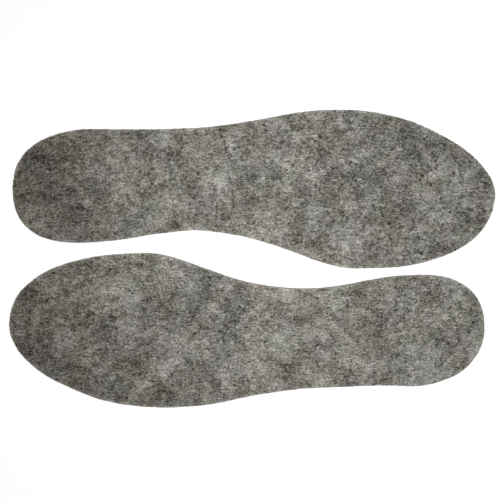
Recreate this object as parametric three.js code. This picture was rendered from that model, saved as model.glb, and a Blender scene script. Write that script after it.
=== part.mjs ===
// A pair of flat felt insoles, each die-cut in one piece from a sheet of needled wool felt that has
// the same face on both sides. Nothing joins the two. They lie side by side, heel to toe: the left
// one foot side up, and the right one turned over, so that both show the same outline.
// Millimetres, +Z up, insoles along X. The origin is on the table, under the middle of the pair.
import * as THREE from "three";

// The felt sheet.
const THICKNESS = 5;
const RIM_ROUND = 0.8; // radius of both rims, where the felt gives under the die

// One insole. Places along it are measured from the back of the heel, and breadths from the long
// axis through that point. The inner side is the arch and big toe side.
const LENGTH = 270;
const TOE_TIP_OUTWARD = 3;
const HEEL_OUTER = { at: 45.5, breadth: 34.2 };
const HEEL_INNER = { at: 33.5, breadth: 29.8 };
const WAIST_INNER = { at: 105.5, breadth: 20.7 };
const BALL_OUTER = { at: 189, breadth: 48.8 };
const BALL_INNER = { at: 193.5, breadth: 39.3 };

// How the pair lies.
const LEFT_TURN = -1.75; // degrees, each insole's own small turn from the X axis
const RIGHT_TURN = -0.95;
const STAGGER = 3.75; // the left insole lies this much further along X
const PAIR_GAP = 5.6; // across X, where the two come nearest

const CURVE_STEPS = 20; // chords in each of the outline's seven curves
const RIM_STEPS = 3;

const FELT_GREY = 0x78756e;

// The outline's knots, from the back of the heel forwards along the outer side and back along the
// inner side. Each is where the outline runs along the axis or square across it. Its arms shape the
// curves before and after it, as shares of the way to the neighbouring knot.
const KNOTS = [
  { x: 0, y: 0, across: true, arms: [0.82, 0.7] },
  { x: HEEL_OUTER.at, y: HEEL_OUTER.breadth, arms: [0.5, 0.66] },
  { x: BALL_OUTER.at, y: BALL_OUTER.breadth, arms: [0.38, 0.44] },
  { x: LENGTH, y: TOE_TIP_OUTWARD, across: true, arms: [0.52, 0.66] },
  { x: BALL_INNER.at, y: -BALL_INNER.breadth, arms: [0.57, 0.29] },
  { x: WAIST_INNER.at, y: -WAIST_INNER.breadth, arms: [0.46, 0.32] },
  { x: HEEL_INNER.at, y: -HEEL_INNER.breadth, arms: [0.37, 0.41] },
];

// The end of the arm that reaches from a knot towards another one.
function armEnd(knot, other, share) {
  return knot.across
    ? [knot.x, knot.y + share * (other.y - knot.y)]
    : [knot.x + share * (other.x - knot.x), knot.y];
}

// An insole's outline seen from its foot side. outward is 1 for a left foot, whose outer side is at
// +Y, and -1 for a right foot.
function insoleOutline(outward) {
  const shape = new THREE.Shape().moveTo(KNOTS[0].x, outward * KNOTS[0].y);
  KNOTS.forEach((from, i) => {
    const to = KNOTS[(i + 1) % KNOTS.length];
    const [ax, ay] = armEnd(from, to, from.arms[1]);
    const [bx, by] = armEnd(to, from, to.arms[0]);
    shape.bezierCurveTo(ax, outward * ay, bx, outward * by, to.x, outward * to.y);
  });
  return shape;
}

// A flat insole with rounded rims, foot side up, resting on Z = 0.
function insole(name, outward) {
  const geometry = new THREE.ExtrudeGeometry(insoleOutline(outward), {
    depth: THICKNESS - 2 * RIM_ROUND,
    curveSegments: CURVE_STEPS,
    bevelThickness: RIM_ROUND,
    bevelSize: RIM_ROUND,
    bevelOffset: -RIM_ROUND,
    bevelSegments: RIM_STEPS,
  }).translate(0, 0, RIM_ROUND);
  const felt = new THREE.MeshStandardMaterial({ color: FELT_GREY, roughness: 1, metalness: 0 });
  const mesh = new THREE.Mesh(geometry, felt);
  mesh.name = name;
  return mesh;
}

// An insole in a group that can be turned about Z and moved over the table.
function laid(mesh, turnDegrees) {
  const group = new THREE.Group().add(mesh);
  group.rotation.z = THREE.MathUtils.degToRad(turnDegrees);
  return group;
}

// The box around every vertex, as the pieces lie.
function boxOf(group) {
  group.updateMatrixWorld(true);
  return new THREE.Box3().setFromObject(group, true);
}

// An insole's outline as it lies, as points on the table.
function outlineOnTable(group, outward) {
  group.updateMatrixWorld(true);
  return insoleOutline(outward)
    .getPoints(CURVE_STEPS)
    .map((p) => new THREE.Vector3(p.x, p.y, 0).applyMatrix4(group.children[0].matrixWorld));
}

// The highest Y of a closed outline at a given X, or the lowest with side -1.
function edgeAt(points, x, side) {
  let reach = -Infinity;
  points.forEach((a, i) => {
    const b = points[(i + 1) % points.length];
    if (a.x === b.x || (a.x - x) * (b.x - x) > 0) return;
    reach = Math.max(reach, side * (a.y + ((b.y - a.y) * (x - a.x)) / (b.x - a.x)));
  });
  return side * reach;
}

// How far apart two outlines are along Y where they come nearest, upper one first.
function gapAcross(upper, lower) {
  const gaps = [...upper, ...lower].map((p) => edgeAt(upper, p.x, -1) - edgeAt(lower, p.x, 1));
  return Math.min(...gaps.filter(Number.isFinite));
}

// Lays the pair heel to toe, PAIR_GAP apart, and centres it over the origin.
function layPair(left, right) {
  for (const [group, share] of [[left, 0.5], [right, -0.5]]) {
    const box = boxOf(group);
    group.position.x = share * STAGGER - (box.min.x + box.max.x) / 2;
  }
  const gap = gapAcross(outlineOnTable(left, 1), outlineOnTable(right, -1));
  left.position.y = PAIR_GAP - gap;
  const pair = new THREE.Group().add(left, right);
  const box = boxOf(pair);
  pair.position.set(-(box.min.x + box.max.x) / 2, -(box.min.y + box.max.y) / 2, -box.min.z);
  return pair;
}

const leftInsole = insole("left_insole", 1);
const rightInsole = insole("right_insole", -1);
rightInsole.rotation.x = Math.PI; // turned over, with its sole side up
rightInsole.position.z = THICKNESS;

export default layPair(laid(leftInsole, LEFT_TURN), laid(rightInsole, 180 + RIGHT_TURN));
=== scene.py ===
"""A pair of flat wool felt insoles, in Blender 4.5 and in metres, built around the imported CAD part.

Each insole is a closed felt body with real relief, a ragged cut wall and a slight warp, and the loose
wool fibres that lie on it and stand out of it. Sizes and places come from the CAD nodes.
"""

import math

import bmesh
import bpy
import numpy as np
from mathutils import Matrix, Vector, noise
from mathutils.bvhtree import BVHTree
from mathutils.kdtree import KDTree


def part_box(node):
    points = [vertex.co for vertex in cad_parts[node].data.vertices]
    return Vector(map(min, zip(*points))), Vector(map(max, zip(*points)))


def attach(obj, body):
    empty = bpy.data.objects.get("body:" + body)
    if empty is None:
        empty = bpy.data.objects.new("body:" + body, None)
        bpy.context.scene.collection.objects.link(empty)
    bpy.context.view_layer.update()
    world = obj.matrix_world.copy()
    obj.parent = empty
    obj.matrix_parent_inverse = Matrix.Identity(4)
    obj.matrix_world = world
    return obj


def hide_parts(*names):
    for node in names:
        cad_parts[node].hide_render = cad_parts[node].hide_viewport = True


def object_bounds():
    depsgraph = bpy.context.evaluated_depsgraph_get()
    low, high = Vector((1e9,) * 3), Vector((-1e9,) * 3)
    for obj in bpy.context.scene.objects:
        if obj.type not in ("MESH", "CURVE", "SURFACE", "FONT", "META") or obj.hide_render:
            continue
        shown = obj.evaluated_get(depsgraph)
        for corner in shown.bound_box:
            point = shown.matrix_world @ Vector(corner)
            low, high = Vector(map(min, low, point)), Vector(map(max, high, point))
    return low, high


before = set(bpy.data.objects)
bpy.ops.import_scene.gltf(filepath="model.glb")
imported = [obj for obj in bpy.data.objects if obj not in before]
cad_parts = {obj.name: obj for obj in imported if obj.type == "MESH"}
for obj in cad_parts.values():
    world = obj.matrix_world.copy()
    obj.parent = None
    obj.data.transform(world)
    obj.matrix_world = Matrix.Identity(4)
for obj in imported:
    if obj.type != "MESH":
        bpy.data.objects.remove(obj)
cad_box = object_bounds()

MM = 0.001

INSOLES = ("left_insole", "right_insole")  # each is a CAD node and the body that it is on

# The view: from above the middle of the pair, a little towards its +Y side.
LENS = 50.4
CAMERA = Vector((-0.1, 34.1, 398.2)) * MM
CAMERA_AIM = Vector((-0.1, 5.9, 0.0)) * MM

# The lamp above, how far its light reaches over the table and how softly it ends there, and a weak
# warm lamp past the left end of the pair. Power is in watts.
SPOT = Vector((35, 60, 900)) * MM
SPOT_REACH, SPOT_BLEND = 197 * MM, 0.8
SPOT_POWER, SPOT_COLOUR, SPOT_RADIUS = 29.7, (0.942, 0.969, 1.0), 65 * MM
WARM = Vector((-420, 20, 320)) * MM
WARM_POWER, WARM_COLOUR, WARM_RADIUS = 0.65, (1.0, 0.56, 0.15), 60 * MM
SKY = 0.07

# The table and the backdrop that it curves up into.
FLOOR_RADIUS, COVE, BACKDROP_HEIGHT = 3.0, 1.2, 2.0
FLOOR_STEPS, COVE_STEPS = 96, 12
FLOOR_GREY, FLOOR_GLOW = 0.2, 0.92

# The felt body.
VOXEL = 0.66 * MM
SQUEEZE, SQUEEZE_REACH = 0.30 * MM, 1.6 * MM  # where the die pressed the rim down
PAINTED_RIM_LIGHT = 1.2 * MM  # how far in the rim is painted paler, as painted light passing through its fibres
WALL_PULL = 1.5 * MM  # how far in the faces move sideways with the wall
WARP, WARP_LENGTH = 0.45 * MM, 75 * MM
TOE_LIFT, TOE_LIFT_REACH = 0.9 * MM, 45 * MM
# Relief as (wavelength, height): of both faces, and of the cut wall outwards. The two depths are the
# relief that the felt's material takes as 1, to paint shade into the dips and light onto the crests.
FACE_RELIEF = ((11 * MM, 0.16 * MM), (4.2 * MM, 0.15 * MM), (1.8 * MM, 0.14 * MM))
WALL_RELIEF = ((22 * MM, 0.32 * MM), (7 * MM, 0.12 * MM), (1.6 * MM, 0.08 * MM))
FACE_DEPTH, WALL_DEPTH = 0.3 * MM, 0.5 * MM

# The fibres, per insole.
LYING, LYING_LENGTH = 2600, (3 * MM, 9 * MM)
FUZZ, FUZZ_LENGTH = 700, (1.2 * MM, 3.2 * MM)
RIM_FUZZ, RIM_FUZZ_LENGTH = 1000, (1.0 * MM, 3.2 * MM)
LYING_RADIUS, FUZZ_RADIUS = (0.03 * MM, 0.055 * MM), (0.018 * MM, 0.032 * MM)
LYING_TINT, FUZZ_TINT = (0.0, 1.0), (0.35, 1.0)  # from the darkest wool to the lightest
# How far a lying fibre stands off the felt, how far some stand off beyond that, and how deep its ends
# are tucked in.
PROUD, LOOSE_SHARE, LOOSE, TUCK = (0.02 * MM, 0.10 * MM), 0.12, 0.2 * MM, 0.06 * MM
# How high a standing fibre rises, as a share of its length, and how deep its root is.
FUZZ_RISE, RIM_FUZZ_RISE, ROOT = (0.05, 0.22), (0.1, 0.4), 0.1 * MM
FIBRE_STEPS = 7

# The UV map that textures can be baked onto, and the heights of its bands for the felt.
BAKE_MAP = "OFBake"
FACE_BAND, WALL_BAND, BAND_GAP = 0.44, 0.045, 0.008
WALL_FACING = 0.6  # faces whose normals rise less than this are on the cut wall
CELL_MARGIN = 0.15  # around each fibre's cell, as a share of the cell


# ---------------------------------------------------------------- small helpers


def link(name, data):
    made = bpy.data.objects.new(name, data)
    bpy.context.scene.collection.objects.link(made)
    return made


def points_of(mesh):
    found = np.empty(len(mesh.vertices) * 3, np.float32)
    mesh.vertices.foreach_get("co", found)
    return found.reshape(-1, 3).astype(float)


def normals_of(mesh):
    found = np.empty(len(mesh.vertices) * 3, np.float32)
    mesh.vertex_normals.foreach_get("vector", found)
    return found.reshape(-1, 3).astype(float)


def face_corners(mesh):
    """Each corner's vertex, each face's first corner and its count of them, and each corner's face."""
    corners = np.empty(len(mesh.loops), np.int32)
    mesh.loops.foreach_get("vertex_index", corners)
    starts = np.empty(len(mesh.polygons), np.int32)
    mesh.polygons.foreach_get("loop_start", starts)
    counts = np.diff(np.r_[starts, len(corners)])
    return corners, starts, counts, np.repeat(np.arange(len(starts)), counts)


def store(mesh, name, values):
    """Keeps one number per vertex, for the materials."""
    values = values.astype(np.float32)
    mesh.attributes.new(name, "FLOAT", "POINT").data.foreach_set("value", values)


def add_bake_map(mesh, u, v):
    layer = mesh.uv_layers.new(name=BAKE_MAP)
    layer.data.foreach_set("uv", np.column_stack([u, v]).astype(np.float32).ravel())


def shade_smooth(mesh):
    mesh.polygons.foreach_set("use_smooth", np.ones(len(mesh.polygons), bool))
    mesh.update()


def smooth(low, high, value):
    """0 below low, 1 above high, and an S curve between them."""
    t = np.clip((value - low) / (high - low), 0, 1)
    return t * t * (3 - 2 * t)


def unit(vectors):
    return vectors / np.maximum(np.linalg.norm(vectors, axis=-1, keepdims=True), 1e-12)


def falloff(distance, reach):
    """1 at no distance, and next to nothing at twice the reach."""
    return np.exp(-((distance / reach) ** 2))


def noise_at(points, wavelength, seed):
    """Smooth noise of about -1 to 1 at each point."""
    shift = Vector((17.3, 5.1, 9.7)) * seed
    return np.array([noise.noise(Vector(p) / wavelength + shift) for p in points]) * 1.6


def layered(points, layers, seed):
    """The sum of noise layers, each a (wavelength, height)."""
    return sum(h * noise_at(points, w, seed + k) for k, (w, h) in enumerate(layers))


# ---------------------------------------------------------------- the outline


class Outline:
    """A CAD insole's outline seen from above, with the distance to it and the place along it."""

    SPACING = 0.5 * MM
    # The CAD node's only points between this far below its top and half its height are the ones where
    # the wall meets the upper rim.
    RIM = 0.5 * MM

    def __init__(self, node):
        self.low, self.high = (np.array(corner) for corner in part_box(node))
        points = points_of(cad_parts[node].data)
        middle_height = (self.low[2] + self.high[2]) / 2
        widest = (points[:, 2] > middle_height) & (points[:, 2] < self.high[2] - self.RIM)
        ring = np.unique(points[widest][:, :2].round(6), axis=0)
        # An insole's middle sees its whole outline, so directions from there put the points in order.
        ring = ring[np.argsort(np.arctan2(*(ring - ring.mean(0)).T[::-1]))]
        ring = np.vstack([ring, ring[:1]])
        along = np.r_[0, np.cumsum(np.linalg.norm(np.diff(ring, axis=0), axis=1))]
        self.length = along[-1]
        self.places = np.arange(0, self.length, self.SPACING)
        self.ring = np.column_stack([np.interp(self.places, along, ring[:, k]) for k in (0, 1)])
        step = np.roll(self.ring, -1, axis=0) - np.roll(self.ring, 1, axis=0)
        self.outward = unit(np.column_stack([step[:, 1], -step[:, 0]]))
        self.tree = KDTree(len(self.ring))
        for i, (x, y) in enumerate(self.ring):
            self.tree.insert((x, y, 0), i)
        self.tree.balance()

    def nearest(self, points):
        """For each point, the index of the ring's nearest point and the distance to it in plan."""
        found = [self.tree.find((x, y, 0))[1:] for x, y, _ in points]
        return np.array([i for i, _ in found]), np.array([d for _, d in found])


# ---------------------------------------------------------------- the felt body


def voxel_mesh(node):
    """The CAD node's own shape as an even mesh of small quads."""
    source = link("source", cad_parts[node].data.copy())
    remesh = source.modifiers.new("remesh", "REMESH")
    remesh.mode, remesh.voxel_size, remesh.adaptivity = "VOXEL", VOXEL, 0
    evaluated = source.evaluated_get(bpy.context.evaluated_depsgraph_get())
    made = bpy.data.meshes.new_from_object(evaluated)
    bpy.data.objects.remove(source)
    made.materials.clear()
    return made


def lift_off_table(outline, points, toe_at_high_x, seed):
    """How far the sheet's slight warp raises each point, the same for both faces."""
    flat = points * (1, 1, 0)
    lift = WARP * noise_at(flat, WARP_LENGTH, seed)
    to_toe = (outline.high[0] - points[:, 0]) if toe_at_high_x else (points[:, 0] - outline.low[0])
    return lift + TOE_LIFT * np.clip(1 - to_toe / TOE_LIFT_REACH, 0, 1) ** 2


def map_felt(outline, mesh, rest, normals, index):
    """A bake map of four bands over each other: the upper face, the lower face, and the wall in two
    halves."""
    corners, starts, counts, face_of = face_corners(mesh)
    facing = (np.add.reduceat(normals[corners, 2], starts) / counts)[face_of]
    along, across, up = ((rest[corners] - outline.low) / (outline.high - outline.low)).T
    face_v = across * FACE_BAND + (facing <= 0) * (FACE_BAND + BAND_GAP)
    # The wall is laid out along the outline. A face over the start of the ring counts as past its end.
    place = outline.places[index[corners]] / outline.length
    first = np.minimum.reduceat(place, starts)[face_of]
    last = np.maximum.reduceat(place, starts)[face_of]
    place = np.where((last - first > 0.5) & (place < 0.5), place + 1, place)
    middle = (np.add.reduceat(place, starts) / counts)[face_of] % 1
    half = (middle >= 0.5).astype(float)
    wall_u = (place - (place - middle > 0.5) - half / 2) * 2
    wall_v = 2 * (FACE_BAND + BAND_GAP) + half * (WALL_BAND + BAND_GAP) + up * WALL_BAND
    wall = np.abs(facing) < WALL_FACING
    add_bake_map(mesh, np.where(wall, wall_u, along), np.where(wall, wall_v, face_v))


def felt_body(node, seed):
    """One insole's felt: closed, with relief on both faces, a ragged wall and a slight warp."""
    outline = Outline(node)
    mesh = voxel_mesh(node)
    rest, normals = points_of(mesh), normals_of(mesh)
    index, inset = outline.nearest(rest)
    # 1 on the wall and 0 on the faces, by how steeply the normal rises.
    wall = 1 - smooth(0.35, 0.85, np.abs(normals[:, 2]))
    relief = layered(rest, FACE_RELIEF, seed)
    bulge = layered(rest, WALL_RELIEF, seed + 10)
    moved = rest.copy()
    outwards = np.sign(normals[:, 2]) * (1 - wall)
    moved[:, 2] += outwards * (relief - SQUEEZE * falloff(inset, SQUEEZE_REACH))
    # What moves the wall also moves the faces near it, less and less inwards.
    moved[:, :2] += outline.outward[index] * (falloff(inset, WALL_PULL) * bulge)[:, None]
    moved[:, 2] += lift_off_table(outline, rest, node == "left_insole", seed + 20)
    moved[:, 2] -= moved[:, 2].min() - outline.low[2]
    mesh.vertices.foreach_set("co", moved.astype(np.float32).ravel())
    map_felt(outline, mesh, rest, normals, index)
    # The relief, which the felt's colour also turns into painted shade in the dips and painted light on the
    # crests.
    store(mesh, "height", np.where(wall > 0.5, bulge / WALL_DEPTH, relief / FACE_DEPTH))
    store(mesh, "cut", wall)
    # Painted light at the rim, for the felt's colour.
    store(mesh, "rim", falloff(inset, PAINTED_RIM_LIGHT))
    shade_smooth(mesh)
    return link(node + "_felt", mesh)


# ---------------------------------------------------------------- the fibres


def turned(vector, axis, angle):
    """vector turned about axis, for arrays of both."""
    c, s = np.cos(angle)[:, None], np.sin(angle)[:, None]
    along = (vector * axis).sum(1)[:, None] * axis
    return along + (vector - along) * c + np.cross(axis, vector) * s


def on_surface(tree, points):
    """The nearest places on the felt and their normals."""
    found = [tree.find_nearest(Vector(p)) for p in points]
    return np.array([f[0] for f in found]), np.array([f[1] for f in found])


def lying_paths(rng, tree, start, normal, lengths):
    """Fibres that wander over the felt, tucked in at both ends and a little proud between them."""
    count = len(start)
    side = unit(np.cross(normal, rng.normal(size=start.shape)))
    curve = rng.normal(0, 0.16, count)
    crimp, phase = rng.uniform(0.1, 0.5, count), rng.uniform(0, math.tau, count)
    proud = rng.uniform(*PROUD, count) + (rng.random(count) < LOOSE_SHARE) * LOOSE
    at, paths = start, []
    for k in range(FIBRE_STEPS + 1):
        t = k / FIBRE_STEPS
        lift = proud * math.sin(math.pi * t) - TUCK * (abs(2 * t - 1) ** 3)
        paths.append(at + normal * lift[:, None])
        side = turned(side, normal, curve + crimp * np.sin(phase + 2.4 * k))
        at, normal = on_surface(tree, at + side * (lengths / FIBRE_STEPS)[:, None])
        side = unit(side - normal * (side * normal).sum(1)[:, None])
    return np.stack(paths, 1)


def standing_paths(rng, start, normal, lengths, rise):
    """Short fibres that leave the felt along a leaning curve and bend over."""
    count = len(start)
    side = unit(np.cross(normal, rng.normal(size=start.shape)))
    height = lengths * rng.uniform(*rise, count)
    curl = rng.normal(0, 0.2, count)
    at, paths = start - normal * ROOT, []
    for k in range(FIBRE_STEPS + 1):
        t = k / FIBRE_STEPS
        paths.append(at + normal * (height * math.sin(0.62 * math.pi * t))[:, None])
        side = turned(side, normal, curl)
        at = at + side * (lengths / FIBRE_STEPS)[:, None]
    return np.stack(paths, 1)


def map_fibres(mesh, count, rings):
    """A bake map that gives each fibre its own cell of a square grid."""
    side = math.ceil(math.sqrt(count))
    corners, starts, _, face_of = face_corners(mesh)
    fibre, ring, corner = corners // (rings * 3), corners // 3 % rings, corners % 3
    # The third side runs from corner 2 back to corner 0, which there counts as corner 3.
    span = np.maximum.reduceat(corner, starts) - np.minimum.reduceat(corner, starts)
    corner = np.where((span == 2)[face_of] & (corner == 0), 3, corner)
    used = 1 - 2 * CELL_MARGIN
    u = (fibre % side + CELL_MARGIN + used * ring / (rings - 1)) / side
    v = (fibre // side + CELL_MARGIN + used * corner / 3) / side
    add_bake_map(mesh, u, v)


def tubes(name, paths, radii, tints):
    """Closed three-sided tubes along the paths, thin at both ends."""
    count, rings = paths.shape[:2]
    ahead = unit(np.gradient(paths, axis=1))
    aside = unit(np.cross(ahead, (0.31, 0.17, 0.94)))  # no fibre runs just along this
    up = np.cross(ahead, aside)
    taper = 0.25 + 0.75 * np.sqrt(np.sin(np.linspace(0.02, math.pi - 0.02, rings)))
    radius = radii[:, None, None] * taper[None, :, None]
    angles = np.arange(3) * math.tau / 3
    corners = [paths + radius * (aside * math.cos(a) + up * math.sin(a)) for a in angles]
    points = np.stack(corners, 2).reshape(-1, 3)
    first = (np.arange(count) * rings * 3)[:, None]
    last = first + 3 * (rings - 1)
    ring = first + np.arange(rings - 1) * 3
    pairs = ((0, 1), (1, 2), (2, 0))
    sides = [np.stack([ring + a, ring + b, ring + 3 + b, ring + 3 + a], -1) for a, b in pairs]
    sides = np.stack(sides, 2).reshape(-1, 4)
    ends = np.concatenate([first + (2, 1, 0), last + (0, 1, 2)])
    mesh = bpy.data.meshes.new(name)
    mesh.from_pydata(points.tolist(), [], sides.tolist() + ends.tolist())
    store(mesh, "tint", np.repeat(tints, rings * 3))
    map_fibres(mesh, count, rings)
    shade_smooth(mesh)
    return link(name, mesh)


def fibres(node, felt, rng):
    """All loose fibres of one insole, as one piece."""
    mesh = felt.data
    tree = BVHTree.FromPolygons([v.co for v in mesh.vertices], [p.vertices for p in mesh.polygons])
    middles = np.array([p.center for p in mesh.polygons])
    normals = np.array([p.normal for p in mesh.polygons])

    def seeds(count, wanted):
        chosen = rng.choice(np.flatnonzero(wanted), count)
        return middles[chosen], normals[chosen]

    rise = normals[:, 2]
    anywhere = seeds(LYING, np.ones(len(rise), bool))
    on_top = seeds(FUZZ, rise > 0.5)
    on_wall = seeds(RIM_FUZZ, np.abs(rise) < 0.5)
    lying = lying_paths(rng, tree, *anywhere, rng.uniform(*LYING_LENGTH, LYING))
    fuzz = standing_paths(rng, *on_top, rng.uniform(*FUZZ_LENGTH, FUZZ), FUZZ_RISE)
    rim = standing_paths(rng, *on_wall, rng.uniform(*RIM_FUZZ_LENGTH, RIM_FUZZ), RIM_FUZZ_RISE)
    paths = np.concatenate([lying, fuzz, rim])
    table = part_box(node)[0][2]
    paths[..., 2] = np.maximum(paths[..., 2], table + LYING_RADIUS[1])
    standing = len(paths) - LYING
    radii = np.r_[rng.uniform(*LYING_RADIUS, LYING), rng.uniform(*FUZZ_RADIUS, standing)]
    tints = np.r_[rng.uniform(*LYING_TINT, LYING), rng.uniform(*FUZZ_TINT, standing)]
    return tubes(node + "_fibres", paths, radii, tints)


# ---------------------------------------------------------------- materials


class Nodes:
    """Builds a material's node tree with one call per node."""

    def __init__(self, name):
        self.material = bpy.data.materials.new(name)
        self.material.use_nodes = True
        self.tree = self.material.node_tree
        self.shader = self.tree.nodes["Principled BSDF"]

    def put(self, socket, value):
        if isinstance(value, bpy.types.NodeSocket):
            self.tree.links.new(value, socket)
        else:
            socket.default_value = value

    def add(self, kind, inputs=(), output=0, **settings):
        """A node with these inputs, by name or number, and the socket that it gives."""
        node = self.tree.nodes.new(kind)
        for key, value in settings.items():
            setattr(node, key, value)
        for key, value in dict(inputs).items():
            self.put(node.inputs[key], value)
        return node.outputs[output]

    def math(self, operation, a, b=0.0, c=0.0):
        return self.add("ShaderNodeMath", {0: a, 1: b, 2: c}, operation=operation)

    def vector(self, operation, a, b=(0, 0, 0), scale=1.0):
        return self.add("ShaderNodeVectorMath", {0: a, 1: b, 3: scale}, operation=operation)

    def sum(self, *terms, base=0.0):
        """base plus the sum of (share, value) terms."""
        total = base
        for share, value in terms:
            total = self.math("MULTIPLY_ADD", value, share, total)
        return total

    def attribute(self, name):
        return self.add("ShaderNodeAttribute", output="Fac", attribute_name=name)

    def millimetres(self):
        """Places in the piece's own coordinates."""
        return self.vector("SCALE", self.add("ShaderNodeTexCoord", output="Object"), scale=1 / MM)

    def noise(self, places, wavelength, detail=2.0, rough=0.5, distortion=0.0):
        """Noise about 0, with most of it within 1 either way. places are in millimetres."""
        inputs = {
            "Vector": places,
            "Scale": 1 / wavelength,
            "Detail": detail,
            "Roughness": rough,
            "Distortion": distortion,
        }
        spread = {"Value": self.add("ShaderNodeTexNoise", inputs), 1: 0.5, 2: 0.75, 3: 0.0, 4: 1.0}
        return self.add("ShaderNodeMapRange", spread, clamp=False)

    def strands(self, places, turns, width, slimness):
        """Stretched noise in several directions, with whatever is lightest on top."""
        top = None
        for k, turn in enumerate(turns):
            inputs = {
                "Vector": places,
                "Location": (7.0 * k, 0, 0),
                "Rotation": (0, 0, math.radians(turn)),
                "Scale": (slimness, 1, 1),
            }
            layer = self.noise(self.add("ShaderNodeMapping", inputs), width)
            top = layer if top is None else self.math("MAXIMUM", top, layer)
        return top

    def shaded_pits(self, places, spacing, width):
        """1 at the middle of each small pit and 0 around it. width is a share of spacing."""
        inputs = {"Vector": places, "Scale": 1 / spacing, "Randomness": 1.0}
        cells = self.add("ShaderNodeTexVoronoi", inputs)
        strength = self.add("ShaderNodeSeparateColor", {0: cells.node.outputs["Color"]})
        near = {"Value": cells, 1: 0.04, 2: width, 3: 1.0, 4: 0.0}
        inside = self.add("ShaderNodeMapRange", near, interpolation_type="SMOOTHSTEP")
        return self.math("MULTIPLY", inside, strength)

    def ramp(self, value, stops):
        """Colours between the stops, each a (place, colour) with the colour's 8-bit screen values."""
        node = self.tree.nodes.new("ShaderNodeValToRGB")
        self.put(node.inputs[0], value)
        elements = node.color_ramp.elements
        while len(elements) < len(stops):
            elements.new(0.5)
        for element, (at, colour) in zip(elements, stops):
            element.position, element.color = at, screen_colour(colour)
        return node.outputs[0]


def screen_colour(rgb):
    return tuple(((c / 255 + 0.055) / 1.055) ** 2.4 for c in rgb) + (1.0,)


def felt_material():
    """Mottled grey wool: clouds, tufts and crossing fibres, painted shade in each pit and in the relief's
    dips, painted light on its crests and at the rim, and a layered cut wall.
    """
    n = Nodes("wool_felt")
    places = n.millimetres()
    # The places are pushed about, so that the stretched noise below bends like fibres.
    swirl = n.add("ShaderNodeTexNoise", {"Vector": places, "Scale": 1 / 6.0, "Detail": 2.0}, output="Color")
    push = n.vector("SCALE", n.vector("SUBTRACT", swirl, (0.5, 0.5, 0.5)), scale=5.0)
    bent = n.vector("ADD", places, push)
    crossing = n.strands(bent, (12, 74, 131), width=0.8, slimness=0.16)
    hairs = n.strands(bent, (-8, 35, 97, 151), width=0.42, slimness=0.08)
    # Most of the wool lies along the sheet.
    carded = n.vector("MULTIPLY", places, (0.85, 1.1, 1.0))
    speckle = n.noise(carded, 1.1, detail=3.0, rough=0.78)
    clumps = n.noise(places, 4.5, distortion=0.6)
    clouds = n.noise(places, 17.0, rough=0.6)
    # Each pit is darkened with painted shade, partly dark wool, and is ragged, because fibres reach over
    # its edge.
    ragged = n.vector("ADD", bent, n.vector("SCALE", (0.35, 0.35, 0.35), scale=speckle))
    small = n.shaded_pits(ragged, 2.6, 0.34)
    large = n.shaded_pits(n.vector("ADD", ragged, (31, 17, 5)), 4.4, 0.26)
    shaded_pits = n.math("MAXIMUM", small, large)
    tone = n.sum(
        (0.85, speckle),
        (0.50, crossing),
        (0.52, hairs),
        (0.34, clumps),
        (0.36, clouds),
        # painted shade: each pit is darkened
        (-1.0, shaded_pits),
        # painted shade in the relief's dips and painted light on its crests
        (0.12, n.attribute("height")),
    )
    face = n.sum((0.53, tone), base=0.30)
    # The cut wall shows the felt's layers, and less light wool.
    layers = n.noise(n.vector("MULTIPLY", places, (0.25, 0.25, 1.6)), 0.8, detail=3.0)
    wall = n.sum((0.20, layers), (0.22, speckle), (0.08, hairs), base=0.42)
    shade = n.add("ShaderNodeMix", {0: n.attribute("cut"), 2: face, 3: wall})
    # Painted light: the rim is paler where light passes through its thin fibres, on the cut wall as well.
    shade = n.sum((0.14, n.attribute("rim")), base=shade)
    grey = n.ramp(shade, [
        (0.0, (41, 38, 31)),
        (0.25, (82, 79, 72)),
        (0.5, (122, 119, 112)),
        (0.75, (159, 156, 149)),
        (1.0, (193, 190, 184)),
    ])
    # The wool drifts a little between blue and yellow, and between green and pink.
    cool = n.vector("SCALE", (0.045, 0.0, -0.073), scale=n.noise(places, 24.0, detail=3.0, rough=0.7))
    elsewhere = n.vector("ADD", places, (0, 0, 90))
    pink = n.vector("SCALE", (0.045, -0.03, 0.015), scale=n.noise(elsewhere, 19.0, detail=3.0, rough=0.7))
    hue = n.vector("ADD", n.vector("ADD", (1.0, 1.0, 0.98), cool), pink)
    n.put(n.shader.inputs["Base Color"], n.vector("MULTIPLY", grey, hue))
    n.put(n.shader.inputs["Roughness"], n.sum((0.06, speckle), base=0.9))
    depth = n.sum((0.4, speckle), (0.3, crossing), (0.3, hairs), (-1.0, shaded_pits))
    bump = n.add("ShaderNodeBump", {"Strength": 0.6, "Distance": 0.25 * MM, "Height": depth})
    n.put(n.shader.inputs["Normal"], bump)
    n.shader.inputs["Sheen Weight"].default_value = 0.15
    n.shader.inputs["Sheen Roughness"].default_value = 0.6
    n.shader.inputs["Specular IOR Level"].default_value = 0.15
    return n.material


def fibre_material():
    """Single wool fibres, from pale grey through brownish grey to nearly black."""
    n = Nodes("wool_fibre")
    uneven = n.noise(n.millimetres(), 2.5, detail=1.0)
    share = n.sum((0.05, uneven), base=n.attribute("tint"))
    colour = n.ramp(share, [
        (0.0, (48, 45, 42)),
        (0.25, (80, 76, 70)),
        (0.5, (118, 112, 103)),
        (0.75, (146, 143, 136)),
        (1.0, (188, 185, 178)),
    ])
    n.put(n.shader.inputs["Base Color"], colour)
    n.put(n.shader.inputs["Roughness"], n.sum((0.05, uneven), base=0.7))
    n.shader.inputs["Specular IOR Level"].default_value = 0.3
    return n.material


# ---------------------------------------------------------------- the studio


def add_camera():
    camera = link("camera", bpy.data.cameras.new("camera"))
    camera.data.lens = LENS
    camera.location = CAMERA
    # Unturned, a camera looks down with +Y at the top of its picture.
    camera.rotation_euler.x = math.atan2(CAMERA_AIM.y - CAMERA.y, CAMERA.z - CAMERA_AIM.z)
    bpy.context.scene.camera = camera


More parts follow.
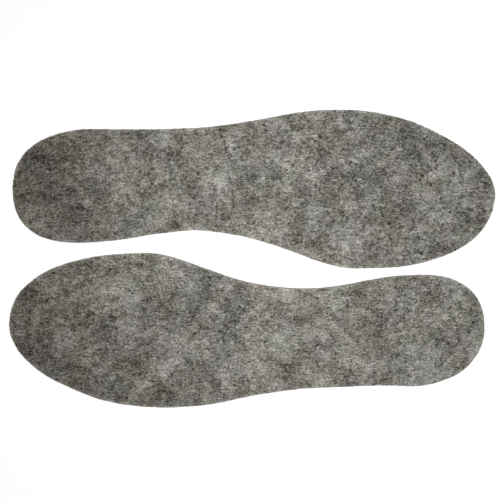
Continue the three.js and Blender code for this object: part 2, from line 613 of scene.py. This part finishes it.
def add_floor():
    """A round white table that curves up into a low backdrop. It glows, so that shadows stay faint."""
    quarter = np.linspace(0, math.pi / 2, COVE_STEPS)
    profile = [(0.0, 0.0)]
    profile += [(FLOOR_RADIUS + COVE * math.sin(t), COVE * (1 - math.cos(t))) for t in quarter]
    profile.append((FLOOR_RADIUS + COVE, BACKDROP_HEIGHT))
    made = bmesh.new()
    line = [made.verts.new((x, 0, cad_box[0].z + z)) for x, z in profile]
    for a, b in zip(line, line[1:]):
        made.edges.new((a, b))
    spun = made.verts[:] + made.edges[:]
    bmesh.ops.spin(made, geom=spun, axis=(0, 0, 1), steps=FLOOR_STEPS, angle=math.tau, use_merge=True)
    bmesh.ops.remove_doubles(made, verts=made.verts, dist=MM)
    mesh = bpy.data.meshes.new("floor")
    made.to_mesh(mesh)
    made.free()
    shade_smooth(mesh)
    n = Nodes("floor")
    n.shader.inputs["Base Color"].default_value = (FLOOR_GREY, FLOOR_GREY, FLOOR_GREY, 1)
    n.shader.inputs["Roughness"].default_value = 0.9
    n.shader.inputs["Emission Color"].default_value = (1, 1, 1, 1)
    n.shader.inputs["Emission Strength"].default_value = FLOOR_GLOW
    mesh.materials.append(n.material)
    link("floor", mesh)


def add_lamp(name, kind, place, power, colour, radius):
    lamp = link(name, bpy.data.lights.new(name, kind))
    lamp.location = place
    lamp.data.energy = power
    lamp.data.color = colour
    lamp.data.shadow_soft_size = radius
    return lamp


def add_lights():
    """A soft spot from above, whose edge falls on the left end of the pair, a weak warm lamp beyond
    that end, and a dim even sky."""
    spot = add_lamp("key", "SPOT", SPOT, SPOT_POWER, SPOT_COLOUR, SPOT_RADIUS)
    aim = Vector((SPOT.x, 0, 0))
    spot.rotation_euler = (aim - SPOT).to_track_quat("-Z", "Y").to_euler()
    spot.data.spot_size = 2 * math.atan(SPOT_REACH / SPOT.z)
    spot.data.spot_blend = SPOT_BLEND
    add_lamp("warm", "POINT", WARM, WARM_POWER, WARM_COLOUR, WARM_RADIUS)
    world = bpy.data.worlds.new("studio")
    world.use_nodes = True
    sky = world.node_tree.nodes["Background"]
    sky.inputs["Color"].default_value = (1, 1, 1, 1)
    sky.inputs["Strength"].default_value = SKY
    bpy.context.scene.world = world


# ---------------------------------------------------------------- the scene

bpy.context.scene.view_settings.view_transform = "Standard"
add_camera()
add_floor()
add_lights()

felt_look, fibre_look = felt_material(), fibre_material()
for number, node in enumerate(INSOLES):
    felt = felt_body(node, seed=3 + 40 * number)
    felt.data.materials.append(felt_look)
    loose = fibres(node, felt, np.random.default_rng(11 + number))
    loose.data.materials.append(fibre_look)
    for piece in (felt, loose):
        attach(piece, node)
    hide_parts(node)
